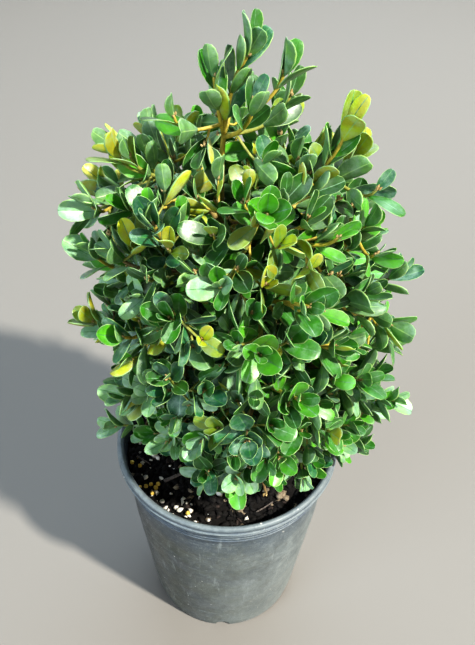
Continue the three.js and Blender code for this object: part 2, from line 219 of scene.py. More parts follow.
studio = {
    "floorRadius": 3.4,
    "floorHeight": -0.0004,  # just under the pot
    "floorSides": 96,
    "floorRoughness": 0.9,
    "floorColor": (0.175, 0.166, 0.152),
    "coveRadius": 1.2,  # where the floor turns up into the wall
    "wallHeight": 3.4,
    "wallColor": (0.5, 0.48, 0.45),
    "lightsFace": (0, 0, 0.25),
    "sunAzimuth": -36.5,  # degrees from +X towards the camera
    "sunHeight": 49.5,
    "sunDistance": 6.0,
    "sunSize": 0.32,
    "sunPower": 790,
    "sunColor": (1.0, 0.95, 0.86),
    "skyPlace": (0.3, 1.35, 1.9),
    "skySize": 2.6,
    "skyPower": 62,
    "skyColor": (0.7, 0.85, 1.0),
    "windowPlace": (-1.6, -1.5, 1.3),
    "windowSize": 1.5,
    "windowPower": 46,
    "windowColor": (0.7, 0.85, 1.0),
    "worldColor": (0.6, 0.77, 1.0),
    "worldStrength": 0.085,
}


def makeCamera(view):
    data = bpy.data.cameras.new("camera")
    data.sensor_width = 36
    data.lens = view["lens"]
    turn = Matrix.Rotation(math.radians(-view["azimuth"]), 4, "Z")
    turn = turn @ Matrix.Rotation(math.radians(90 - view["down"]), 4, "X")
    turn = turn @ Matrix.Rotation(math.radians(view["roll"]), 4, "Z")
    camera = newObject("camera", data)
    camera.matrix_world = Matrix.Translation(Vector(view["position"]) * mm) @ turn
    bpy.context.scene.camera = camera


def areaLight(look, name, position):
    data = bpy.data.lights.new(name, "AREA")
    data.shape = "DISK"
    data.size = look[f"{name}Size"]
    data.energy = look[f"{name}Power"]
    data.color = look[f"{name}Color"]
    light = newObject(name, data)
    light.location = position
    facing = Vector(look["lightsFace"]) - Vector(position)
    light.rotation_euler = facing.to_track_quat("-Z", "Y").to_euler()


# A round floor that turns up into a pale wall, far from the plant
def floorParts(look):
    radius, cove, sides = look["floorRadius"], look["coveRadius"], look["floorSides"]
    profile = [(radius, 0)]
    for degrees in range(15, 91, 15):
        turn = math.radians(degrees)
        profile.append((radius + cove * math.sin(turn), cove * (1 - math.cos(turn))))
    profile.append((radius + cove, look["wallHeight"]))
    corners = []
    for out, height in profile:
        for i in range(sides):
            turn = 2 * math.pi * i / sides
            corners.append((out * math.cos(turn), out * math.sin(turn), height))
    faces = [tuple(range(sides))]
    for ring in range(0, (len(profile) - 1) * sides, sides):
        for i in range(sides):
            k = (i + 1) % sides
            faces.append((ring + i, ring + sides + i, ring + sides + k, ring + k))
    return corners, faces


def makeStudio(look):
    azimuth, height = math.radians(look["sunAzimuth"]), math.radians(look["sunHeight"])
    flat = math.cos(height)
    away = Vector((math.cos(azimuth) * flat, math.sin(azimuth) * flat, math.sin(height)))
    areaLight(look, "sun", away * look["sunDistance"])
    areaLight(look, "sky", look["skyPlace"])
    areaLight(look, "window", look["windowPlace"])
    world = bpy.data.worlds.new("studio")
    world.use_nodes = True
    background = world.node_tree.nodes["Background"]
    background.inputs["Color"].default_value = (*look["worldColor"], 1)
    background.inputs["Strength"].default_value = look["worldStrength"]
    bpy.context.scene.world = world
    floor = newObject("floor", newMesh("floor", *floorParts(look)))
    floor.location.z = look["floorHeight"]
    material, tree, shader = newMaterial("paleFloor", look["floorColor"], look["floorRoughness"])
    rise = remapped(tree, axis(tree, "Z"), 0, look["coveRadius"])
    tree.links.new(mixed(tree, rise, look["floorColor"], look["wallColor"]), shader.inputs["Base Color"])
    floor.data.materials.append(material)


makeCamera(cameraView)
makeStudio(studio)
bpy.context.scene.view_settings.view_transform = "Standard"
bpy.context.scene.view_settings.look = "Medium High Contrast"
print("camera and studio ready")


# Materials

# Upper sides of leaves, one plain colour for each kind of spray
# Of these, the darkest green is older leaves and also painted shade, the bright green also paints sunlight
# shining through, the gold paints sunlight shining through young leaves, the blue green also paints a bluish
# sky reflection, and the pale green is waxy leaves and a painted sheen.
leafTints = {
    "deep": (0.009, 0.058, 0.004),
    "full": (0.017, 0.112, 0.005),
    "freshLit": (0.047, 0.215, 0.008),
    "blue": (0.012, 0.082, 0.038),
    "olive": (0.11, 0.165, 0.01),
    "mintSheen": (0.13, 0.262, 0.15),
    "gold": (0.35, 0.345, 0.015),
}
# Undersides: the pale one is the leaves' own, the gold one paints sunlight shining through them.
underTints = {
    "paleUnder": (0.066, 0.158, 0.055),
    "goldUnder": (0.27, 0.262, 0.012),
}
marginTint = (0.17, 0.29, 0.115)
ribTint = (0.035, 0.145, 0.035)
leafLook = {
    "coat": 0.32,
    # The sunned patches are painted sunlight: noise patches lighter and yellower than the leaf's colour.
    "sunned": 1.45,  # how much lighter the sunned patches of a leaf are
    "patches": (95, 3, 0.6),
    "patchLevels": (0.42, 0.62),
    "glossLevels": (0.3, 0.7),
    "glossVaries": (-0.07, 0.12),
    "bump": (0.22, 0.0008),  # strength and height
}
# The pale waxy film on the leaves, which also paints a pale sheen, and its share of the most on each kind of
# spray but the pale sheen one
waxAndSheen = {"color": (0.34, 0.48, 0.4), "texture": (120, 5, 0.7), "levels": (0.46, 0.66), "most": 0.6}
waxAndSheenOn = {"deep": 0.16, "full": 0.3, "freshLit": 0.24, "blue": 0.65, "olive": 0.3, "gold": 0.3}


def leafMaterial(name, color, roughness, subsurface, waxAndSheenShare=1.0):
    look = leafLook
    material, tree, shader = newMaterial(name, color, roughness, 0.5, look["coat"], subsurface)
    red, green, blue = color
    sunnedGreen = look["sunned"] * green + 0.01
    sunned = (min(look["sunned"] * red + 0.004, 0.8 * sunnedGreen), sunnedGreen, blue)
    # Painted sunlit patches over the leaf's colour
    base = mixed(tree, pattern(tree, look["patches"], look["patchLevels"]), color, sunned)
    # Pale waxy patches that also paint a sheen
    waxAndSheenAmount = pattern(tree, waxAndSheen["texture"], (*waxAndSheen["levels"], 0, waxAndSheenShare * waxAndSheen["most"]))
    least, most = look["glossVaries"]
    gloss = pattern(tree, (900, 2), (*look["glossLevels"], roughness + least, roughness + most))
    tree.links.new(gloss, shader.inputs["Roughness"])
    painted(tree, shader, mixed(tree, waxAndSheenAmount, base, waxAndSheen["color"]), (260, 2), *look["bump"])
    return material


barkFinish = {
    "color": (0.25, 0.18, 0.1),
    "streaks": [(0.3, (0.075, 0.052, 0.03)), (0.55, (0.24, 0.17, 0.09)), (0.75, (0.4, 0.33, 0.22))],
    "young": (0.36, 0.28, 0.075),
    "youngFrom": 0.3,  # height in metres where the bark begins to be young
    "youngAt": 0.42,
    "youngMost": 0.8,
}


def barkMaterial(look):
    material, tree, shader = newMaterial("bark", look["color"], 0.85, 0.25)
    streaks = ramp(tree, noiseNode(tree, 260, 5, 0.65, (1, 1, 0.22)), look["streaks"])
    young = remapped(tree, axis(tree, "Z"), look["youngFrom"], look["youngAt"], 0, look["youngMost"])
    painted(tree, shader, mixed(tree, young, streaks, look["young"]), (600, 5, 0.7, (1, 1, 0.3)), 0.7, 0.0012)
    return material


def youngStemMaterial(name, color):
    material, tree, shader = newMaterial(name, color, 0.5, 0.4, 0, 0.1)
    darker = tuple(0.55 * c for c in color)
    streaks = pattern(tree, (420, 4, 0.6, (1, 1, 0.35)), (0.35, 0.7))
    painted(tree, shader, mixed(tree, streaks, darker, color), (900, 3), 0.4, 0.0005)
    return material


potFinish = {
    "slate": [(0.36, (0.066, 0.085, 0.098)), (0.5, (0.122, 0.15, 0.163)), (0.62, (0.19, 0.225, 0.238))],
    "worn": (0.06, 0.07, 0.074),
    # Brown-green grime, which on the left also paints shade
    "grimeAndShade": (0.115, 0.13, 0.07),  # brown-green
    "shade": (0.019, 0.022, 0.026),
    "collar": (0.045, 0.068, 0.1),
    "pale": (0.19, 0.213, 0.208),  # dust low down
    "scuff": (0.3, 0.34, 0.34),
    # Pale dust on the rim, which also paints a highlight along its lip and bead
    "rimDustAndHighlight": (0.165, 0.2, 0.212),
    "speck": (0.66, 0.66, 0.62),
    # How much pale dust and painted highlight the rim has, from its foot to its top
    "rimPaleLevels": [(0.12, 0.0), (0.2, 1.0), (0.34, 1.0), (0.4, 0.15), (0.62, 0.25), (0.74, 0.8), (1.0, 1.0)],
}
# Layers over the slate, in order: colour, noise texture, levels (from, to, least, most) and its area
potLayers = [
    ("worn", (100, 8, 0.8), (0.52, 0.6, 0, 0.7), None),
    ("worn", (420, 6, 0.8), (0.54, 0.66, 0, 0.6), None),
    # On the left: grime that also paints shade, then painted shade
    ("grimeAndShade", (34, 9, 0.8, (1, 1, 1.6)), (0.42, 0.56, 0.1, 0.9), "left"),
    ("shade", (26, 8, 0.75), (0.3, 0.64, 0.8, 1.0), "left"),
    ("collar", (60, 8, 0.75), (0.34, 0.6, 0.3, 0.9), "collar"),
    ("pale", (50, 8, 0.8), (0.3, 0.64, 0.3, 0.8), "lowRight"),
    ("scuff", (30, 7, 0.75, (1, 1, 22)), (0.57, 0.68, 0, 0.45), None),
    ("scuff", (170, 7, 0.75, (1, 1, 0.1)), (0.6, 0.68, 0, 0.45), None),
    ("scuff", (280, 8, 0.85), (0.54, 0.66, 0, 0.5), None),
    # Pale dust and painted highlight on the rim
    ("rimDustAndHighlight", (140, 7, 0.75), (0.32, 0.6, 0.3, 0.95), "rim"),
    ("speck", (350, 1.5, 0.4), (0.77, 0.79, 0, 1.0), None),
]


def potAreas(tree, look):
    across, height = axis(tree, "X"), axis(tree, "Z")
    rimStops = [(level, (share, share, share)) for level, share in look["rimPaleLevels"]]
    right, low = remapped(tree, across, -0.03, 0.06), remapped(tree, height, 0.165, 0.05)
    return {
        # The left side, where the grime and the painted shade go
        "left": remapped(tree, across, 0.045, -0.07),
        "lowRight": combined(tree, right, low),
        "collar": remapped(tree, height, 0.135, 0.166),
        # The rim's bands of pale dust and painted highlight
        "rim": ramp(tree, remapped(tree, height, 0.178, 0.188), rimStops),
    }


def potMaterial(look):
    material, tree, shader = newMaterial("agedPlastic", look["slate"][1][1], 0.5)
    areas = potAreas(tree, look)
    color = ramp(tree, noiseNode(tree, 48, 9, 0.78, (1, 1, 0.8)), look["slate"])
    for name, texture, levels, area in potLayers:
        amount = pattern(tree, texture, levels)
        if area:
            amount = combined(tree, areas[area], amount)
        color = mixed(tree, amount, color, look[name])
    painted(tree, shader, color, (300, 8, 0.75, (1, 1, 0.5)), 0.4, 0.0008)
    tree.links.new(pattern(tree, (60, 5), (0.3, 0.7, 0.34, 0.6)), shader.inputs["Roughness"])
    return material


def grainMaterial(name, dark, light, scale, roughness):
    material, tree, shader = newMaterial(name, dark, roughness, 0.3)
    grain = ramp(tree, noiseNode(tree, scale, 5, 0.65), [(0.35, dark), (0.7, light)])
    painted(tree, shader, grain, (scale * 2, 5, 0.7), 0.8, 0.001)
    return material


leafFinishes = [
    leafMaterial(f"leaf_{name}", color, 0.4, 0.15, waxAndSheenOn.get(name, 1)) for name, color in leafTints.items()
]
underFinishes = [leafMaterial(f"leaf_{name}", color, 0.55, 0.2, 0.5) for name, color in underTints.items()]
marginFinish = leafMaterial("leaf_margin", marginTint, 0.45, 0.2, 0.5)
ribFinish = leafMaterial("leaf_rib", ribTint, 0.4, 0.1)
bark = barkMaterial(barkFinish)
stemFinishes = [
    youngStemMaterial("stem_gold", (0.5, 0.4, 0.06)),
    youngStemMaterial("stem_green", (0.33, 0.35, 0.07)),
    youngStemMaterial("stem_tan", (0.3, 0.2, 0.09)),
]
budFinish = grainMaterial("bud_scale", (0.26, 0.16, 0.05), (0.62, 0.5, 0.26), 900, 0.6)
agedPlastic = potMaterial(potFinish)
pottingMix = grainMaterial("potting_mix", (0.0016, 0.0015, 0.0014), (0.008, 0.0062, 0.0055), 260, 0.95)
print("materials ready")


# Growth rule of the crown

crown = {
    "foot": 170, "top": 484, "widest": 94, "swell": 0.35, "taper": 0.6,
    "leanX": 24, "leanY": 14, "leanEnds": 0.7,
}
trunk = {
    "tip": 416, "footRadius": 5.6, "tipRadius": 2.3, "flare": 3.4, "flareHeight": 7, "followsCrown": 0.1,
    "aboveSoil": 0.3,
    "sways": [(5, 1.6), (3, 2.3)],  # along X and along Y: how far, and in how many half turns
    "topTaper": 0.7,  # how much thinner than the solid the trunk ends
    "sides": 22,
}
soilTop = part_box("potting_soil")[1].z / mm
tiers = [
    {"name": "skirt", "count": 7, "firstAzimuth": 12, "height": 222, "rise": 0.6},
    {"name": "middle", "count": 6, "firstAzimuth": 42, "height": 290, "rise": 1.1},
    {"name": "shoulder", "count": 5, "firstAzimuth": 8, "height": 356, "rise": 1.4},
    {"name": "crest", "count": 3, "firstAzimuth": 60, "height": 412, "rise": 1.6},
]
leaderHeight = 458
massRule = {"depth": 0.54, "rootShare": 0.46, "rootDrop": 18, "rootRoom": 3, "stagger": 30}
boughRule = {"baseRadius": 2.6, "tipRadius": 1.7, "spread": 20, "aboveSoil": 10, "sides": 12}
stemRule = {"baseRadius": 1.7, "tipRadius": 1.0}
shootRule = {
    "count": 84, "lowest": 186, "highest": 446, "shortest": 0.9, "longest": 1.04,
    "lift": 0.1, "liftGain": 1.25, "straight": 0.5, "firstBranch": 0.12, "lastBranch": 0.6,
    "firstTurn": 0, "radii": (1.25, 0.9),
    "branchGain": 0.5,  # how much farther along the stem a shoot with a farther tip leaves it
    "branchLess": 0.15,
    "outLoss": 0.75,  # how much less a shoot points outwards at the top
}
# Azimuth from +X, height and reach of the tips that grew on past the rest
longShoots = [
    (0, 477, 5), (200, 468, 12), (300, 460, 18), (10, 455, 28), (172, 446, 30), (90, 442, 40),
    (352, 428, 62), (178, 424, 64), (186, 388, 80), (356, 350, 100), (345, 262, 112),
]
clear = {"cells": 1.6, "limbs": 2, "soil": 1.5, "rim": 3, "belowRim": 32}
potForm = {
    "height": 187, "rimRadius": 84, "rimDepth": 7, "rimLip": 3.2, "collarDepth": 19, "collarStep": 1.6,
    "baseRadius": 63, "baseRound": 3, "wall": 2, "floor": 2.5, "segments": 160,
    "drains": 6, "drainRadius": 6,
    "steps": (4.6, 8.0, 11.4),  # fine steps round the collar, above its foot
    "bead": 0.8,  # the bead along the rim's lower edge
}


def seeded(start):
    state = start

    def draw():
        nonlocal state
        state = (state + 0x6D2B79F5) & 0xFFFFFFFF
        x = ((state ^ (state >> 15)) * (1 | state)) & 0xFFFFFFFF
        x = ((x + (((x ^ (x >> 7)) * (61 | x)) & 0xFFFFFFFF)) & 0xFFFFFFFF) ^ x
        return (x ^ (x >> 14)) / 2**32
    return draw


random = seeded(7)


def between(low, high):
    return low + (high - low) * random()


def unit(vector):
    return vector / max(np.linalg.norm(vector), 1e-9)


def outwards(azimuth):
    return np.array([math.cos(azimuth), math.sin(azimuth), 0.0])


def shareBetween(value, start, end):
    return min(1, max(0, (value - start) / (end - start)))


def heightShare(height):
    return shareBetween(height, crown["foot"], crown["top"])


def crownReach(height):
    share = heightShare(height)
    widestAt = crown["swell"] / (crown["swell"] + crown["taper"])
    widest = crown["widest"] * (share / widestAt) ** crown["swell"]
    return widest * ((1 - share) / (1 - widestAt)) ** crown["taper"]


def crownMiddle(height):
    lean = max(0, 1 - heightShare(height) / crown["leanEnds"])
    return np.array([crown["leanX"] * lean, crown["leanY"] * lean, height])


def crownPoint(azimuth, height, share):
    return crownMiddle(height) + outwards(azimuth) * crownReach(height) * share


def depthOf(point):
    return np.linalg.norm(point - crownMiddle(point[2])) / max(crownReach(point[2]), 1)


def trunkPoint(height):
    share = (height - soilTop) / (trunk["tip"] - soilTop)
    lean = (crownMiddle(height) - crownMiddle(soilTop)) * trunk["followsCrown"]
    swayX, swayY = (far * math.sin(share * math.pi * turns) for far, turns in trunk["sways"])
    return np.array([lean[0] + swayX, lean[1] + swayY, height])


def trunkRadius(share):
    flare = trunk["flare"] * math.exp(-share * (trunk["tip"] - soilTop) / trunk["flareHeight"])
    taper = (trunk["tipRadius"] - trunk["footRadius"]) * share - trunk["topTaper"] * share**4
    return trunk["footRadius"] + taper + flare


# Lines are rows of points. A bend is a curve between two points that is drawn towards a third.
def bend(start, through, end, steps=24):
    t = np.linspace(0, 1, steps + 1)[:, None]
    return (1 - t) ** 2 * start + 2 * t * (1 - t) * through + t**2 * end


def travelled(line):
    return np.concatenate([[0], np.cumsum(np.linalg.norm(np.diff(line, axis=0), axis=1))])


def pointAt(line, share):
    way = travelled(line)
    return np.array([np.interp(share * way[-1], way, line[:, i]) for i in range(3)])


def tangentAt(line, share):
    return unit(pointAt(line, min(1, share + 0.03)) - pointAt(line, max(0, share - 0.03)))


trunkHeights = np.linspace(soilTop + trunk["aboveSoil"], trunk["tip"], 41)
trunkLine = np.array([trunkPoint(z) for z in trunkHeights])
leader = {"name": "leader", "tier": "crest", "middle": np.array([0, 0, leaderHeight], float)}
masses = [leader]
for tier in tiers:
    for i in range(tier["count"]):
        azimuth = math.radians(tier["firstAzimuth"]) + 2 * math.pi * i / tier["count"]
        lift = (i * goldenShare) % 1
        height = tier["height"] + (lift - 0.5) * massRule["stagger"]
        masses.append({
            "name": f"{tier['name']}_{i + 1}", "tier": tier["name"], "rise": tier["rise"], "lift": lift,
            "middle": crownPoint(azimuth, height, massRule["depth"]),
        })


# The room a point has in a mass's own space: its distance from the planes half way to the others
def roomIn(point, owner):
    own = np.sum((point - owner["middle"]) ** 2)
    room = math.inf
    for other in masses:
        if other is owner:
            continue
        further = np.sum((point - other["middle"]) ** 2) - own
        room = min(room, further / (2 * np.linalg.norm(other["middle"] - owner["middle"])))
    return room


def ownerOf(point):
    return min(masses, key=lambda one: np.sum((point - one["middle"]) ** 2))


def growBough(one):
    beside = trunkPoint(one["middle"][2] - massRule["rootDrop"])
    below = np.array([one["middle"][0], one["middle"][1], beside[2]])
    share = massRule["rootShare"]
    root = beside + (below - beside) * share
    while roomIn(root, one) < massRule["rootRoom"] and share < 1:
        share += 0.05
        root = beside + (one["middle"] - beside) * share
    one["root"] = root
    one["ahead"] = unit(one["middle"] - root)
    run = math.hypot(root[0], root[1])
    lowest = soilTop + boughRule["aboveSoil"]
    start = trunkPoint(max(root[2] - run * one["rise"], lowest) + one["lift"] * boughRule["spread"])
    elbow = root - one["ahead"] * 0.5 * np.linalg.norm(root - start)
    one["bough"] = bend(start, elbow, root)


boughMasses = masses[1:]
for one in boughMasses:
    growBough(one)

boughRadii = (boughRule["baseRadius"], boughRule["tipRadius"])
limbRadii = [np.linspace(trunk["footRadius"], trunk["tipRadius"], len(trunkLine))]
for one in boughMasses:
    limbRadii.append(np.linspace(*boughRadii, len(one["bough"])))
limbPoints = np.concatenate([trunkLine, *(one["bough"] for one in boughMasses)])
limbRadii = np.concatenate(limbRadii)


def clearOfLimbs(point):
    return bool(np.all(np.linalg.norm(limbPoints - point, axis=1) > limbRadii + clear["limbs"]))


def clearOfPot(point):
    fromAxis = math.hypot(point[0], point[1])
    if fromAxis > potForm["rimRadius"] + clear["rim"]:
        return point[2] > potForm["height"] - clear["belowRim"]
    inside = fromAxis < potForm["rimRadius"] - potForm["rimLip"] - potForm["wall"] - clear["rim"]
    return point[2] > (soilTop if inside else potForm["height"]) + clear["soil"]


# Tips dealt out evenly over the crown by the golden angle
def dealtTips(rule):
    slices = 60
    heights = np.linspace(rule["lowest"], rule["highest"], slices + 1)
    reach = np.array([crownReach(z) for z in heights])
    bands = (reach[:-1] + reach[1:]) * np.hypot(np.diff(reach), np.diff(heights))
    area = np.concatenate([[0], np.cumsum(bands)])
    tips = []
    for k in range(rule["count"]):
        height = np.interp(area[-1] * (k + 0.5) / rule["count"], area, heights)
        share = between(rule["shortest"], rule["longest"])
        tips.append(crownPoint(k * goldenAngle + rule["firstTurn"], height, share))
    return tips


# Tips given as azimuth from +X, height and reach
def tipsAt(rows):
    return [outwards(math.radians(azimuth)) * reach + up * height for azimuth, height, reach in rows]


def shootDirection(tip, steeper=0.0):
    share = heightShare(tip[2])
    out = unit(tip - crownMiddle(tip[2])) * min(1, depthOf(tip)) * (1 - shootRule["outLoss"] * share**2)
    return unit(out + up * (shootRule["lift"] + shootRule["liftGain"] * share + steeper * share**1.5))


def shootLine(branch, tip, owner):
    straight = shootRule["straight"] * np.linalg.norm(tip - branch)
    for through in (tip - shootDirection(tip) * straight, (branch + tip) / 2):
        points = bend(branch, through, tip, 10)
        if not all(roomIn(p, owner) >= clear["cells"] and clearOfPot(p) for p in points):
            continue
        if all(clearOfLimbs(p) for p in points[3:]):
            return bend(branch, through, tip)
    return None


# Every shoot: its line, its radii at both ends, its mass and how strongly it grows
shoots = []


def addShoot(line, radii, owner, vigour):
    shoots.append({"line": line, "radii": radii, "owner": owner, "vigour": vigour})


def growMass(owner, tips):
    start = trunkLine[-1] if owner is leader else owner["root"]
    ahead = unit(trunkLine[-1] - trunkLine[-2]) if owner is leader else owner["ahead"]
    ordered = sorted(tips, key=lambda tip: -np.dot(unit(tip - start), ahead))
    mainTip = ordered[0]
    elbow = start + ahead * np.linalg.norm(owner["middle"] - start)
    stemLine = bend(start, elbow, mainTip)
    base = trunk["tipRadius"] - trunk["topTaper"] if owner is leader else stemRule["baseRadius"]
    addShoot(stemLine, (base, stemRule["tipRadius"]), owner, 1.0)
    for tip in ordered[1:]:
        share = np.linalg.norm(tip - start) / np.linalg.norm(mainTip - start)
        at = shootRule["branchGain"] * share - shootRule["branchLess"]
        at = min(max(at, shootRule["firstBranch"]), shootRule["lastBranch"])
        line = shootLine(pointAt(stemLine, at), tip, owner)
        if line is not None:
            addShoot(line, shootRule["radii"], owner, 1.0)


mainTips = dealtTips(shootRule) + tipsAt(longShoots)
for one in masses:
    growMass(one, [tip for tip in mainTips if ownerOf(tip) is one])
print("main shoots:", len(shoots))


# The finer twigs grow from the nearest shoot that already points their way.
finerRounds = [
    {"count": 270, "lowest": 196, "highest": 420, "shortest": 0.76, "longest": 0.96, "firstTurn": 1.1,
     "nearest": 14, "farthest": 70, "radii": (0.9, 0.65), "vigour": 0.75},
    {"count": 260, "lowest": 196, "highest": 428, "shortest": 0.52, "longest": 0.78, "firstTurn": 2.3,
     "nearest": 10, "farthest": 60, "radii": (0.8, 0.6), "vigour": 0.5},
    {"count": 170, "lowest": 192, "highest": 436, "shortest": 0.22, "longest": 0.52, "firstTurn": 0.4,
     "nearest": 8, "farthest": 55, "radii": (0.8, 0.6), "vigour": 0.4},
]
finerRule = {
    "from": (0.12, 0.85, 9),  # they leave a shoot between these shares of it, at so many places
    "turnCost": 0.5,  # how much a place counts as farther when its shoot points another way
    "agreement": (0.25, 0.4),  # how far the shoot has to point their way, and how much more at the top
    "straight": 0.45,
    "steeper": 1.0,  # how much more they stand up towards the top
}
# Azimuth, height and reach of the free shoots that break the outline
freeShoots = [
    (330, 474, 26), (334, 453, 60), (340, 420, 78), (340, 380, 84), (346, 316, 104), (344, 214, 96),
    (205, 451, 34), (199, 431, 62), (197, 402, 78), (196, 372, 82), (198, 324, 87), (200, 228, 82),
    (256, 213, 55), (296, 222, 60), (4, 484, 7), (60, 420, 58), (110, 372, 84), (75, 330, 96),
    (130, 300, 92), (40, 270, 104), (95, 240, 92), (150, 236, 88),
]


def growFiner(rule, tips):
    points, tangents, owners = [], [], []
    for shoot in shoots:
        for share in np.linspace(*finerRule["from"]):
            points.append(pointAt(shoot["line"], share))
            tangents.append(tangentAt(shoot["line"], share))
            owners.append(shoot["owner"])
    points, tangents = np.array(points), np.array(tangents)
    turnCost, (agreed, agreedMore) = finerRule["turnCost"], finerRule["agreement"]
    for tip in tips:
        way = tip - points
        distance = np.linalg.norm(way, axis=1)
        agreement = np.sum(way * tangents, axis=1) / np.maximum(distance, 1e-6)
        cost = distance * (1 + turnCost - turnCost * agreement)
        leastAgreement = agreed + agreedMore * heightShare(tip[2]) ** 3
        outOfReach = (distance < rule["nearest"]) | (distance > rule["farthest"])
        cost[outOfReach | (agreement < leastAgreement)] = math.inf
        best = int(np.argmin(cost))
        if not math.isfinite(cost[best]):
            continue
        through = tip - shootDirection(tip, finerRule["steeper"]) * finerRule["straight"] * distance[best]
        line = bend(points[best], through, tip, 12)
        if all(clearOfPot(p) for p in line):
            addShoot(line, rule["radii"], owners[best], rule["vigour"])


growFiner({"nearest": 16, "farthest": 95, "radii": (1.1, 0.8), "vigour": 1.0}, tipsAt(freeShoots))
for rule in finerRounds:
    growFiner(rule, dealtTips(rule))
print("shoots with the finer ones:", len(shoots))


# Limbs with bark

barkRelief = {"depth": 0.09, "turns": 2.2, "stretch": 0.09, "finer": 2.7, "ring": 2.0}
twigRule = {
    "sides": (7, 5),  # main shoots and finer ones
    "relief": 0.05, "ring": 4.0,
    "golden": (0.15, 0.75),  # share of golden stems at the foot, and how much more at the top
    "green": 0.35,  # share of green ones, and the rest are tan
}


def tubeCentres(line, step):
    way = travelled(line)
    ways = np.linspace(0, way[-1], max(3, int(way[-1] / step) + 1))
    return np.stack([np.interp(ways, way, line[:, i]) for i in range(3)], axis=1)


def tubePart(line, radii, sides, kind=0, relief=0.0, step=3.0, radiusAt=None):
    points = tubeCentres(line, step)
    count, length = len(points), travelled(line)[-1]
    shares = np.linspace(0, 1, count)
    tangents = np.gradient(points, axis=0)
    tangents /= np.linalg.norm(tangents, axis=1)[:, None]
    reference = np.array([1.0, 0, 0]) if abs(tangents[0][2]) > 0.9 else up
    angles = np.linspace(0, 2 * math.pi, sides, endpoint=False)
    rings = []
    for share, point, tangent in zip(shares, points, tangents):
        across = unit(reference - tangent * np.dot(reference, tangent))
        other = np.cross(tangent, across)
        radius = radiusAt(share) if radiusAt else radii[0] + (radii[1] - radii[0]) * share
        ring = []
        for angle in angles:
            size = radius
            if relief:
                spot = Vector((math.cos(angle), math.sin(angle), 0)) * barkRelief["turns"]
                spot.z = share * length * barkRelief["stretch"] + point[0]
                size *= 1 + relief * (noise.noise(spot) + 0.5 * noise.noise(spot * barkRelief["finer"]))
            ring.append(point + (across * math.cos(angle) + other * math.sin(angle)) * size)
        rings.append(ring)
    vertices = np.concatenate([*np.array(rings), [points[0]], [points[-1] + tangents[-1] * radii[1] * 0.6]])
    return vertices, ringFaces(count, sides), kind


def makeLimbs():
    relief = (0, barkRelief["depth"], barkRelief["ring"])
    trunkRadii = (trunk["footRadius"], trunk["tipRadius"])
    parts = [tubePart(trunkLine, trunkRadii, trunk["sides"], *relief, trunkRadius)]
    for one in boughMasses:
        parts.append(tubePart(one["bough"], boughRadii, boughRule["sides"], *relief))
    limbs = joinedMesh("limbs", parts, [bark])
    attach(limbs, "root")
    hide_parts("trunk", *[f"bough_{one['name']}" for one in boughMasses])


def makeShoots():
    parts = []
    least, more = twigRule["golden"]
    for number, shoot in enumerate(shoots):
        sides = twigRule["sides"][0 if shoot["vigour"] == 1 else 1]
        golden = least + more * heightShare(shoot["line"][-1][2]) ** 1.5
        draw = (number * goldenShare) % 1
        kind = 0 if draw < golden else 1 if draw < golden + twigRule["green"] else 2
        relief = (kind, twigRule["relief"], twigRule["ring"])
        parts.append(tubePart(shoot["line"], shoot["radii"], sides, *relief))
    twigs = joinedMesh("twigs", parts, stemFinishes)
    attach(twigs, "root")


makeLimbs()
makeShoots()
print("limbs and twigs ready")


# Leaves

leafRule = {
    "length": 21.5,
    "sizes": (0.78, 1.12),  # smallest and largest leaf of a place, as shares of its size
    "spreads": (0.8, 1.2),  # how much the angle between leaf and shoot varies
    "rises": (-0.08, 0.16),  # how much a leaf is drawn down or up
    "riseAtTop": 0.22,
    "rolls": (-0.15, 0.15),
    "apart": 5.0,  # least distance between the middles of two leaves
    "offTwigs": 2.4,  # least distance between a leaf and another shoot
    "aboveSoil": 9,
    "openings": [(-56, 24), (-168, 34)],  # azimuths where the mix shows, and how much higher leaves hang
    "pullToLight": 0.45,
    "lightFromAbove": 0.8,
    "leafyShare": 0.8,  # how much of a shoot's length bears leaves
    "heart": 0.55,  # where along a leaf its distance from the others is measured
    "stature": (0.82, 0.26, 0.1),  # size at the foot, and how much larger at the top and on a main shoot
    "narrow": (0.25, 0.85),  # share of narrow leaves at the foot, and how much more at the top
    # Gold undersides paint sunlight shining through them.
    "goldUnder": (0.03, 0.3, 0.9),  # share of gold undersides at the foot, more at the top, on a gold tip
    "finerReach": 1.08,  # how far out a leaf of a finer shoot may stand, as a share of the crown's reach
    "internodes": (0.85, 1.75),  # stretch of the distances between pairs, at the foot and the top
    "internodesVary": (0.9, 1.15),
    "closing": 0.36,  # how much less the leaves spread at the top
    "strays": 0.2,  # share of the leaves that don't take their spray's tint
}
# Pairs of leaves from the tip down: distance back, degrees between leaf and shoot, size
leafPairs = [
    (1.5, 22, 0.78), (5.5, 40, 0.94), (12.5, 54, 1.0), (20.5, 63, 1.0), (29.5, 68, 0.97), (39, 71, 0.92),
    (49, 73, 0.88), (59.5, 74, 0.84), (70.5, 75, 0.8),
]
# Width and widest place as shares of the length, fold along the rib, cup and curl of the blade
leafForms = [
    (0.45, 0.62, 0.1, 0.3, 0.5), (0.49, 0.6, 0.34, -0.3, -0.55), (0.51, 0.63, 0.18, 0.22, -0.2),
    (0.58, 0.56, 0.3, -0.32, -0.5), (0.63, 0.55, 0.06, 0.36, 0.4), (0.66, 0.53, 0.14, 0.2, -0.3),
]
narrowForms = 3  # the first forms are narrow, and as many round ones follow
leafSections = {
    "rows": (0.06, 0.15, 0.3, 0.5, 0.72, 0.88, 0.965), "margin": 0.92, "rib": 0.05, "thickness": 0.02,
    "stalk": 0.022,  # half its width
    "bladeFrom": 0.03,
    "hinge": 0.35,  # where along the leaf its curl turns over
}
faceSides = {"blade": 0, "margin": 1, "rib": 2, "underside": 3}
ringSides = [faceSides[name] for name in (
    "margin", "blade", "rib", "blade", "margin", "margin", "underside", "margin", "underside", "margin",
)]


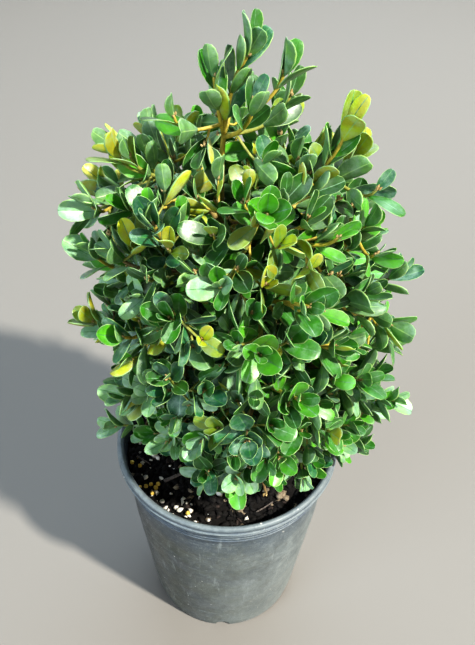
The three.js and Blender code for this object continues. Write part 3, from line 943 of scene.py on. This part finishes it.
# Half the width along the leaf, which swells from the stalk and rounds off to the tip
def halfWidth(share, width, widestAt):
    if share > widestAt:
        return width / 2 * (1 - ((share - widestAt) / (1 - widestAt)) ** 2.3) ** 0.5
    stalk = leafSections["stalk"]
    rise = (widestAt - share) / (widestAt - leafSections["bladeFrom"])
    return stalk + (width / 2 - stalk) * (1 - min(1, rise) ** 1.7) ** 0.95


def leafShape(name, width, widestAt, fold, cup, curl):
    # The leaf lies along +Y with its upper side towards +Z, and its length is 1.
    rows, margin, rib, thickness, hinge = (
        leafSections[k] for k in ("rows", "margin", "rib", "thickness", "hinge")
    )
    upperSide, underSide = (-1, -margin, -rib, rib, margin, 1), (margin, rib, -rib, -margin)

    def spot(share, side, sink):
        lean = curl * (share - hinge)
        half = halfWidth(share, width, widestAt)
        rise = fold * abs(side) * half + cup * side * side * half - sink
        along = share * (1 - 0.1 * curl * curl)
        height = 0.5 * curl * (share - hinge) ** 2 - 0.5 * curl * hinge**2
        return side * half, along - rise * math.sin(lean), height + rise * math.cos(lean)

    vertices, faces = [(0, 0, 0)], []
    ringSize = len(ringSides)
    for share in rows:
        vertices += [spot(share, side, 0) for side in upperSide]
        vertices += [spot(share, side, thickness) for side in underSide]
    vertices.append(spot(0.99, 0, thickness / 2))
    end, lastRow = len(vertices) - 1, 1 + (len(rows) - 1) * ringSize
    for row in range(1, lastRow, ringSize):
        for i in range(ringSize):
            a, b = row + i, row + (i + 1) % ringSize
            faces.append((a, b, b + ringSize, a + ringSize))
    sides = ringSides * (len(rows) - 1)
    for i in range(ringSize):
        k = (i + 1) % ringSize
        faces += [(0, 1 + k, 1 + i), (end, lastRow + i, lastRow + k)]
        sides += [ringSides[i]] * 2
    mesh = newMesh(name, vertices, faces)
    mesh.attributes.new("side", "INT", "FACE").data.foreach_set("value", sides)
    return bpy.data.objects.new(name, mesh)


# What a point can carry: its turn, its size, its form and, for a leaf, the tints of its two sides
attributeKinds = {"turn": "QUATERNION", "size": "FLOAT", "form": "INT", "tint": "INT", "under": "INT"}


def attributeNode(tree, name):
    node = tree.nodes.new("GeometryNodeInputNamedAttribute")
    node.data_type = attributeKinds.get(name, "INT")
    node.inputs["Name"].default_value = name
    return next(socket for socket in node.outputs if socket.enabled and socket.name == "Attribute")


def equals(tree, value, number):
    node = tree.nodes.new("FunctionNodeCompare")
    node.data_type = "INT"
    node.operation = "EQUAL"
    sockets = [socket for socket in node.inputs if socket.enabled]
    tree.links.new(value, sockets[0])
    sockets[1].default_value = number
    return node.outputs["Result"]


def setMaterial(tree, geometry, material, selection=True):
    inputs = {"Geometry": geometry, "Material": material, "Selection": selection}
    return nodeOutput(tree, "GeometryNodeSetMaterial", inputs, "Geometry")


# A tree that stands a collection's forms on points. The finish function sets the materials.
def scatterTree(name, setFinish, more=()):
    tree = bpy.data.node_groups.new(name, "GeometryNodeTree")
    tree.interface.new_socket(name="Geometry", in_out="OUTPUT", socket_type="NodeSocketGeometry")
    inputs = [("Geometry", "Geometry"), ("Shapes", "Collection"), ("Scale", "Float"), *more]
    for label, kind in inputs:
        tree.interface.new_socket(name=label, in_out="INPUT", socket_type=f"NodeSocket{kind}")
    start, end = tree.nodes.new("NodeGroupInput"), tree.nodes.new("NodeGroupOutput")
    choice = {"Separate Children": True, "Reset Children": True, "Collection": start.outputs["Shapes"]}
    forms = nodeOutput(tree, "GeometryNodeCollectionInfo", choice, "Instances")
    placing = {
        "Points": start.outputs["Geometry"], "Instance": forms, "Pick Instance": True,
        "Instance Index": attributeNode(tree, "form"), "Rotation": attributeNode(tree, "turn"),
        "Scale": combined(tree, attributeNode(tree, "size"), start.outputs["Scale"]),
    }
    instances = nodeOutput(tree, "GeometryNodeInstanceOnPoints", placing, "Instances")
    real = nodeOutput(tree, "GeometryNodeRealizeInstances", {"Geometry": instances}, "Geometry")
    tree.links.new(setFinish(tree, start, real), end.inputs["Geometry"])
    return tree


def finishLeaves(tree, start, geometry):
    side, tint, under = (attributeNode(tree, name) for name in ("side", "tint", "under"))
    for name, finish in (("margin", marginFinish), ("rib", ribFinish)):
        geometry = setMaterial(tree, geometry, finish, equals(tree, side, faceSides[name]))
    for name, finishes, choice in (("blade", leafFinishes, tint), ("underside", underFinishes, under)):
        for number, finish in enumerate(finishes):
            onSide, chosen = equals(tree, side, faceSides[name]), equals(tree, choice, number)
            both = combined(tree, onSide, chosen, "FunctionNodeBooleanMath", "AND")
            geometry = setMaterial(tree, geometry, finish, both)
    return geometry


def finishBits(tree, start, geometry):
    return setMaterial(tree, geometry, start.outputs["Finish"])


leafTree = scatterTree("leafPlacing", finishLeaves)
bitTree = scatterTree("bitScatter", finishBits, [("Finish", "Material")])


def collected(name, forms):
    shapes = bpy.data.collections.new(name)
    for form in forms:
        shapes.objects.link(form)
    return shapes


def discard(shapes):
    for form in list(shapes.objects):
        bpy.data.objects.remove(form)
    bpy.data.collections.remove(shapes)


# Forms on points. Each row says where one stands and what its point carries.
def grownFrom(rows, tree, values, name):
    points = newMesh("points", [tuple(row["place"] * mm) for row in rows], [])
    for label, kind in attributeKinds.items():
        if label in rows[0]:
            data = points.attributes.new(label, kind, "POINT").data
            data.foreach_set("value", np.array([row[label] for row in rows]).ravel())
    source = newObject("points", points)
    modifier = source.modifiers.new("grow", "NODES")
    modifier.node_group = tree
    for item in tree.interface.items_tree:
        if item.in_out == "INPUT" and item.name in values:
            modifier[item.identifier] = values[item.name]
    evaluated = source.evaluated_get(bpy.context.evaluated_depsgraph_get())
    mesh = bpy.data.meshes.new_from_object(evaluated)
    mesh.name = name
    source.modifiers.remove(modifier)
    bpy.data.objects.remove(source)
    return newObject(name, mesh)


leaves = []
leafGrid, twigGrid = {}, {}  # what stands in each small cube of the crown, and the shoot it belongs to
cubeSteps = [(x, y, z) for x in (-1, 0, 1) for y in (-1, 0, 1) for z in (-1, 0, 1)]


def cubeOf(point, size):
    return tuple((point // size).astype(int))


def isNear(grid, point, size, owner=None):
    cube = cubeOf(point, size)
    for step in cubeSteps:
        for other, itsOwner in grid.get(tuple(c + s for c, s in zip(cube, step)), []):
            if itsOwner is not owner and np.linalg.norm(other - point) < size:
                return True
    return False


def leafFits(middle, end, shoot):
    if isNear(leafGrid, middle, leafRule["apart"]):
        return False
    for point in (middle, middle + 0.4 * (end - middle)):  # also a place nearer to the leaf's tip
        if isNear(twigGrid, point, leafRule["offTwigs"], shoot):
            return False
    leafGrid.setdefault(cubeOf(middle, leafRule["apart"]), []).append((middle, shoot))
    return True


for shoot in shoots:
    for point in tubeCentres(shoot["line"], 2.0):
        twigGrid.setdefault(cubeOf(point, leafRule["offTwigs"]), []).append((point, shoot))


def leftShare(tip):
    return shareBetween(tip[0], 10, -50)


# A spray takes one tint, and a few of its leaves another
def sprayTint(tip, vigour):
    share = heightShare(tip[2])
    low, edge = 1 - share, shareBetween(abs(tip[0] - 12), 0, 70)
    left, inside = leftShare(tip), 1 - vigour
    # The weights paint light and shade: fewer darkest and more bright, blue, olive and pale sprays on the
    # left, low down and towards the edges paint those parts lighter, and more darkest sprays on the weaker
    # inner shoots paint shade inside the crown as well as older leaves.
    weights = {
        "deep": 0.26 - 0.14 * low - 0.12 * left + 0.75 * inside,
        "full": 0.3 - 0.06 * edge,
        "freshLit": 0.12 + 0.08 * low + 0.12 * edge,
        "blue": 0.03 + 0.18 * share + 0.06 * left,
        "olive": (0.05 + 0.08 * left) * share,
        "mintSheen": (0.02 + 0.04 * edge + 0.5 * low**1.5 + 0.8 * left * (0.4 + low)) * vigour,
    }
    draw = random() * sum(weights.values())
    for name, weight in weights.items():
        draw -= weight
        if draw < 0:
            return list(leafTints).index(name)
    return 0


goldRule = {"most": 0.28, "fromHeight": 0.2, "leftMore": 0.6, "rightLess": 0.6}


# Gold tips, which paint sunlight shining through young leaves, are rare, and more likely towards the top and
# on the left.
def turnsGold(tip):
    high = max(0, heightShare(tip[2]) - goldRule["fromHeight"]) ** 1.2
    aside = goldRule["leftMore"] * leftShare(tip), goldRule["rightLess"] * shareBetween(tip[0], 30, 70)
    return random() < goldRule["most"] * high * (1 + aside[0] - aside[1])


# The youngest pair of a gold tip is gold or olive and the next one olive. Strays take the first four tints.
def leafTint(tint, pair, golden):
    if golden and pair < 2:
        return list(leafTints).index("olive" if pair or random() < 0.3 else "gold")
    return int(random() * 4) if random() < leafRule["strays"] else tint


# Leaves hang less low where the photo shows the mix
def lowestLeaf(point):
    azimuth = math.atan2(point[1], point[0])
    rises = []
    for towards, rise in leafRule["openings"]:
        rises.append(rise * max(0, math.cos(azimuth - math.radians(towards))) ** 4)
    return soilTop + leafRule["aboveSoil"] + max(rises)


def hasRoom(middle, end, shoot):
    if not (clearOfPot(end) and clearOfPot(middle)):
        return False
    if shoot["vigour"] < 1 and depthOf(middle) > leafRule["finerReach"]:
        return False
    if min(end[2], middle[2]) < lowestLeaf(end) and math.hypot(end[0], end[1]) < potForm["rimRadius"]:
        return False
    return leafFits(middle, end, shoot)


def growLeaves(shoot):
    line = shoot["line"]
    length = travelled(line)[-1]
    tip = line[-1]
    share = heightShare(tip[2])
    turn = between(0, math.pi)
    tint = sprayTint(tip, shoot["vigour"])
    toLight = unit(unit(tip - crownMiddle(tip[2])) + up * leafRule["lightFromAbove"])
    low, high = leafRule["internodes"]
    stretch = (low + (high - low) * share**1.6) * between(*leafRule["internodesVary"])
    closing = 1 - leafRule["closing"] * share**1.4
    least, byHeight, byVigour = leafRule["stature"]
    stature = least + byHeight * share + byVigour * shoot["vigour"]
    narrow = leafRule["narrow"][0] + leafRule["narrow"][1] * share
    goldFew, goldMore, goldTip = leafRule["goldUnder"]
    golden = turnsGold(tip)
    for pair, (back, spread, size) in enumerate(leafPairs):
        turn += math.pi / 2
        back *= stretch
        if back > length * leafRule["leafyShare"]:
            break
        root = pointAt(line, 1 - back / length)
        tangent = tangentAt(line, 1 - back / length)
        side = unit(np.cross(tangent, up))
        side = np.array(Quaternion(tangent, turn) @ Vector(side))
        for sign in (1, -1):
            angle = math.radians(spread * closing * between(*leafRule["spreads"]))
            rise = between(*leafRule["rises"]) + leafRule["riseAtTop"] * share**2
            along = unit(tangent * math.cos(angle) + side * sign * math.sin(angle) + up * rise)
            scale = leafRule["length"] * size * between(*leafRule["sizes"]) * stature
            middle, end = root + along * scale * leafRule["heart"], root + along * scale
            if not hasRoom(middle, end, shoot):
                continue
            facing = unit(tangent - along * np.dot(tangent, along)) + toLight * leafRule["pullToLight"]
            facing = unit(facing + np.array([between(*leafRule["rolls"]) for _ in range(3)]))
            facing = unit(facing - along * np.dot(facing, along))
            turned = Matrix((np.cross(along, facing), along, facing)).transposed().to_quaternion()
            firstForm = narrowForms if random() > narrow else 0
            goldUnder = goldTip if golden and pair < 2 else goldFew + goldMore * share**3
            leaves.append({
                "place": root, "turn": tuple(turned), "size": scale, "tier": shoot["owner"]["tier"],
                "form": firstForm + int(random() * narrowForms),
                "tint": leafTint(tint, pair, golden),
                "under": 1 if random() < goldUnder else 0,
            })


# Each shoot draws from its own seed, so a change to one leaves the others as they are
for number, shoot in enumerate(sorted(shoots, key=lambda one: -one["vigour"])):
    random = seeded(1000 + number)
    growLeaves(shoot)
random = seeded(9)
print("leaves:", len(leaves))


budRule = {
    "length": 3.6, "apart": 0.9, "lean": 0.45, "sink": 0.5, "sides": 6,
    "sideShare": 0.75,  # size of the side buds as a share of the middle one's
    "sizes": (0.8, 1.15), "profile": [(0, 0), (0.17, 0.08), (0.27, 0.35), (0.2, 0.68), (0.06, 0.94), (0, 1)],
}


# A closed bud of pointed scales, one unit long
def budShape(name):
    vertices, faces, _ = turnedPart(budRule["profile"], budRule["sides"])
    for i, vertex in enumerate(vertices[:-2]):
        vertex[0] *= 1.25 if i % 2 else 0.9
    return bpy.data.objects.new(name, newMesh(name, vertices.tolist(), faces))


# Three buds at the tip of each shoot, the first in the middle
def makeBuds():
    shapes = collected("budShapes", [budShape("budForm")])
    rows = []
    for shoot in shoots:
        tip, ahead = shoot["line"][-1], tangentAt(shoot["line"], 1)
        side = unit(np.cross(ahead, up))
        for i in range(3):
            away = np.array(Quaternion(ahead, i * 2.1 + tip[0]) @ Vector(side))
            place = tip - ahead * budRule["sink"] + away * budRule["apart"] * (0.3 if i == 0 else 1)
            pointing = unit(ahead + away * budRule["lean"] * (0 if i == 0 else 1))
            size = budRule["length"] * (1 if i == 0 else budRule["sideShare"]) * between(*budRule["sizes"])
            turn = tuple(Vector(pointing).to_track_quat("Z", "Y"))
            rows.append({"place": place, "turn": turn, "size": size, "form": 0})
    buds = grownFrom(rows, bitTree, {"Shapes": shapes, "Scale": mm, "Finish": budFinish}, "buds")
    discard(shapes)
    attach(buds, "root")


def makeLeaves():
    shapes = collected("leafShapes", [leafShape(f"leafForm{i}", *form) for i, form in enumerate(leafForms)])
    for tier in tiers:
        own = [leaf for leaf in leaves if leaf["tier"] == tier["name"]]
        piece = grownFrom(own, leafTree, {"Shapes": shapes, "Scale": mm}, f"leaves_{tier['name']}")
        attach(piece, "root")
        named = [f"foliage_{one['name']}" for one in masses if one["tier"] == tier["name"]]
        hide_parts(*named)
        piece.data.calc_loop_triangles()
        print(piece.name, len(own), "leaves", len(piece.data.loop_triangles), "triangles")
    discard(shapes)


makeLeaves()
makeBuds()


# Pot

def arcPoints(centre, radius, first, last, steps):
    angles = np.radians(np.linspace(first, last, steps + 1))
    return [(centre[0] + radius * math.cos(a), centre[1] + radius * math.sin(a)) for a in angles]


# The wall's outer radius at a height
def wallRadius(p, height):
    widening = p["rimRadius"] - p["rimLip"] - p["baseRadius"]
    return p["baseRadius"] + widening * height / (p["height"] - p["rimDepth"])


def potProfile(p):
    bandFoot = p["height"] - p["rimDepth"]
    wallTop = bandFoot - p["collarDepth"]
    step, wall, floor = p["collarStep"], p["wall"], p["floor"]

    def slope(height):
        return wallRadius(p, height)

    outer = [(0, 0), (p["baseRadius"] - p["baseRound"], 0)]
    outer += arcPoints((p["baseRadius"] - p["baseRound"], p["baseRound"]), p["baseRound"], -70, 0, 5)
    outer += [(slope(z), z) for z in (12, 40, 80, 120)]
    outer += [(slope(wallTop - 1) - step, wallTop - 1.0), (slope(wallTop) - step, wallTop)]
    outer += [(slope(wallTop) - 0.3, wallTop + step - 0.3), (slope(wallTop), wallTop + step + 0.4)]
    for rise in p["steps"]:
        foot, out = wallTop + rise, slope(wallTop + rise)
        outer += [(out, foot), (out + 0.5, foot + 0.35), (out + 0.5, foot + 0.8), (out, foot + 1.3)]
    outer += [(slope(bandFoot - 1), bandFoot - 1), (slope(bandFoot) + 0.4, bandFoot - 0.4)]
    outer += arcPoints((p["rimRadius"] - p["bead"], bandFoot + p["bead"]), p["bead"], -90, 60, 6)
    outer += [(p["rimRadius"] - 1.0, bandFoot + 2 * p["bead"] + 0.5)]
    outer += arcPoints((p["rimRadius"] - 2.6, p["height"] - 2.2), 2.2, 0, 120, 8)
    inner = [(slope(bandFoot) - wall - 0.1, p["height"] - 2.4), (slope(bandFoot) - wall, bandFoot)]
    inner += [(slope(wallTop) - wall, wallTop + step), (slope(wallTop) - wall - step, wallTop)]
    inner += [(slope(floor + 2) - wall, floor + 2), (slope(floor) - wall - 2, floor), (0, floor)]
    return outer + inner


def makePot(p):
    pot = joinedMesh("nursery_pot", [turnedPart(potProfile(p), p["segments"])], [agedPlastic])
    drills = []
    for i in range(p["drains"]):
        out = outwards((i + 0.5) * 2 * math.pi / p["drains"])
        line = np.array([out * (p["baseRadius"] + way) for way in (-12, 0, 12)])
        drills.append(tubePart(line + up * p["floor"], (p["drainRadius"], p["drainRadius"]), 24))
    cutter = joinedMesh("drills", drills, [agedPlastic])
    cut = pot.modifiers.new("drains", "BOOLEAN")
    cut.operation = "DIFFERENCE"
    cut.object = cutter
    mesh = bpy.data.meshes.new_from_object(pot.evaluated_get(bpy.context.evaluated_depsgraph_get()))
    pot.modifiers.remove(cut)
    pot.data = mesh
    bpy.data.objects.remove(cutter)
    mesh.set_sharp_from_angle(angle=math.radians(38))
    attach(pot, "root")
    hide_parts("pot")


makePot(potForm)
print("pot ready")


# Potting mix

soilForm = {
    "edgeSink": 4, "crestSink": 1, "wallGap": 0.6, "floorGap": 0.4, "rings": 46, "segments": 150,
    "lump": 2.4, "crumb": 1.4,
}


def soilRadius(height):
    return wallRadius(potForm, height) - potForm["wall"] - soilForm["wallGap"]


def soilHeight(x, y):
    spot = Vector((x, y, 0))
    lumps = noise.noise(spot * 0.07) * soilForm["lump"]
    lumps += noise.noise(spot * 0.31 + Vector((9, 0, 0))) * soilForm["crumb"]
    crumbs = noise.noise(spot * 0.8 + Vector((0, 7, 0))) * 0.5 * soilForm["crumb"]
    sink = soilForm["edgeSink"] * (math.hypot(x, y) / soilRadius(soilTop)) ** 2
    return soilTop - soilForm["crestSink"] - sink + lumps + crumbs


def makeSoil(s):
    edge = soilTop - s["crestSink"] - s["edgeSink"]
    base, step = potForm["floor"] + s["floorGap"], potForm["collarStep"]
    wallTop = potForm["height"] - potForm["rimDepth"] - potForm["collarDepth"]
    profile = [
        (0, base), (soilRadius(base) - 2, base), (soilRadius(base + 3), base + 3),
        (soilRadius(wallTop) - step, wallTop - 1), (soilRadius(wallTop + 2 * step), wallTop + 2 * step),
    ]
    profile += [(soilRadius(edge) * (1 - i / s["rings"]), edge) for i in range(s["rings"])]
    vertices, faces, kind = turnedPart(profile + [(0, edge)], s["segments"])
    for vertex in vertices:
        if vertex[2] > edge - 0.1:
            vertex[2] = soilHeight(vertex[0], vertex[1])
    soil = joinedMesh("potting_mix_surface", [(vertices, faces, kind)], [pottingMix])
    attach(soil, "root")
    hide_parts("potting_soil")


makeSoil(soilForm)

# What lies in the mix: how many, size range, squash, lumps, how far it sinks in, pull to the left, colours
soilBits = {
    "bark_crumbs": {
        "count": 1700, "size": (1.6, 6.8), "flat": (1.0, 0.6, 0.42), "lumpy": 0.9, "sink": 0.1, "left": 0.0,
        "colors": ((0.0016, 0.0015, 0.0015), (0.011, 0.009, 0.0085)),
    },
    "brown_bark": {
        "count": 70, "size": (2.5, 8), "flat": (1.0, 0.5, 0.3), "lumpy": 0.9, "sink": 0.0, "left": 0.0,
        "colors": ((0.012, 0.009, 0.008), (0.06, 0.042, 0.036)),
    },
    "tan_chips": {
        "count": 100, "size": (2.4, 8.0), "flat": (1.0, 0.68, 0.16), "lumpy": 0.5, "sink": 0.0, "left": 0.3,
        "colors": ((0.12, 0.088, 0.058), (0.36, 0.3, 0.21)),
    },
    "white_grit": {
        "count": 150, "size": (1.2, 4.6), "flat": (1.0, 0.8, 0.7), "lumpy": 0.9, "sink": 0.1, "left": 0.75,
        "colors": ((0.62, 0.59, 0.5), (0.9, 0.88, 0.82)),
    },
    "feed_grains": {
        "count": 17, "size": (2.9, 3.8), "flat": (1.0, 1.0, 0.95), "lumpy": 0.15, "sink": 0.15, "left": 0.95,
        "colors": ((0.62, 0.4, 0.04), (0.85, 0.66, 0.2)),
    },
}
bitRule = {
    "forms": 4, "spread": 76,  # how far from the middle the bits lie
    "leftOf": -18, "leftVaries": (-10, 14), "tilts": (-0.5, 0.5), "landmarkRaise": 0.6,
}
# The pieces that lie where the photo shows them: place, length, turn in degrees
soilLandmarks = {
    "tan_chips": [
        (-37, -19.8, 8, 40), (7.3, -48.6, 10, 120), (11.7, -56.8, 12, 75), (13.8, -38.1, 10, 20),
        (40.2, -42.6, 12, 60), (-3.9, -39.4, 6, 10), (29, -40, 6, 30), (33, -52, 4, 0),
    ],
    "white_grit": [
        (-58.7, 0.4, 7.5, 30), (-56.2, -9.2, 7, 100), (-46.2, -51.7, 4, 0), (-30.6, -47.9, 4, 50),
        (-35.8, -55.6, 5.5, 80), (-32.8, -58, 4.5, 20), (-60, -31, 4, 60), (-40, -44, 3, 0),
        (-25, -52, 2.6, 0), (-43, -56, 3, 40),
    ],
    "feed_grains": [
        (-65.6, -20.6, 4, 0), (-72, -17, 3.6, 0), (-55.6, -37.4, 3.6, 0), (-51.6, -40.7, 4, 0),
        (-50.3, -37.5, 3.8, 0), (-59.2, -38.3, 3.6, 0), (-54, -45, 3.2, 0), (-27, -61, 3.6, 0),
    ],
}


# An uneven pebble, one unit long
def bitShape(name, flat, lumpy, seed):
    mesh = bpy.data.meshes.new(name)
    form = bmesh.new()
    bmesh.ops.create_icosphere(form, subdivisions=1, radius=0.5)
    for vertex in form.verts:
        vertex.co *= 1 + lumpy * noise.noise(vertex.co * 3 + Vector((seed, 0, 0)))
        vertex.co = Vector(c * f for c, f in zip(vertex.co, flat))
    form.to_mesh(mesh)
    form.free()
    mesh.shade_smooth()
    return bpy.data.objects.new(name, mesh)


def turnedBy(angle, tilt=0.0):
    return tuple(Quaternion((0, 0, 1), angle) @ Quaternion((1, 0, 0), tilt))


def bitRows(rule, landmarks):
    rows, thickness = [], rule["flat"][2]
    for x, y, size, angle in landmarks:
        place = np.array([x, y, soilHeight(x, y) + size * thickness * 0.5 + bitRule["landmarkRaise"]])
        form = (len(rows) + 1) % bitRule["forms"]
        rows.append({"place": place, "turn": turnedBy(math.radians(angle)), "size": size, "form": form})
    while len(rows) < rule["count"]:
        angle, radius = between(0, 2 * math.pi), bitRule["spread"] * math.sqrt(random())
        x, y = radius * math.cos(angle), radius * math.sin(angle)
        if random() < rule["left"] and x > bitRule["leftOf"] + between(*bitRule["leftVaries"]):
            continue
        size = between(*rule["size"])
        place = np.array([x, y, soilHeight(x, y) + size * thickness * (0.5 - rule["sink"])])
        turn = turnedBy(between(0, 2 * math.pi), between(*bitRule["tilts"]))
        rows.append({"place": place, "turn": turn, "size": size, "form": int(random() * bitRule["forms"])})
    return rows


def makeSoilBits():
    for name, rule in soilBits.items():
        seeds = range(bitRule["forms"])
        shapes = collected(name, [bitShape(f"{name}{i}", rule["flat"], rule["lumpy"], i * 5) for i in seeds])
        finish = grainMaterial(name, *rule["colors"], 500, 0.85)
        rows = bitRows(rule, soilLandmarks.get(name, []))
        piece = grownFrom(rows, bitTree, {"Shapes": shapes, "Scale": mm, "Finish": finish}, name)
        discard(shapes)
        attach(piece, "root")


makeSoilBits()

# Sticks on the mix: start and end in mm, thickness
soilSticks = [
    ((-46, -35), (-27, -23.5), 1.5), ((-69, -12), (-58, -19), 0.7), ((22, -58), (34, -50), 0.6),
    ((-20, -36), (-12, -45), 0.7),
]


def makeSticks():
    parts = []
    for start, stop, radius in soilSticks:
        first, last = (np.array([x, y, soilHeight(x, y) + radius + 1.4]) for x, y in (start, stop))
        line = bend(first, (first + last) / 2 + np.array([0.6, -0.8, 1.0]), last)
        parts.append(tubePart(line, (radius, 0.7 * radius), 8, 0, 0.2, 1.2))
    dryStick = grainMaterial("dry_stick", (0.06, 0.05, 0.045), (0.2, 0.17, 0.15), 500, 0.9)
    sticks = joinedMesh("sticks", parts, [dryStick])
    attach(sticks, "root")


makeSticks()
print("potting mix ready")
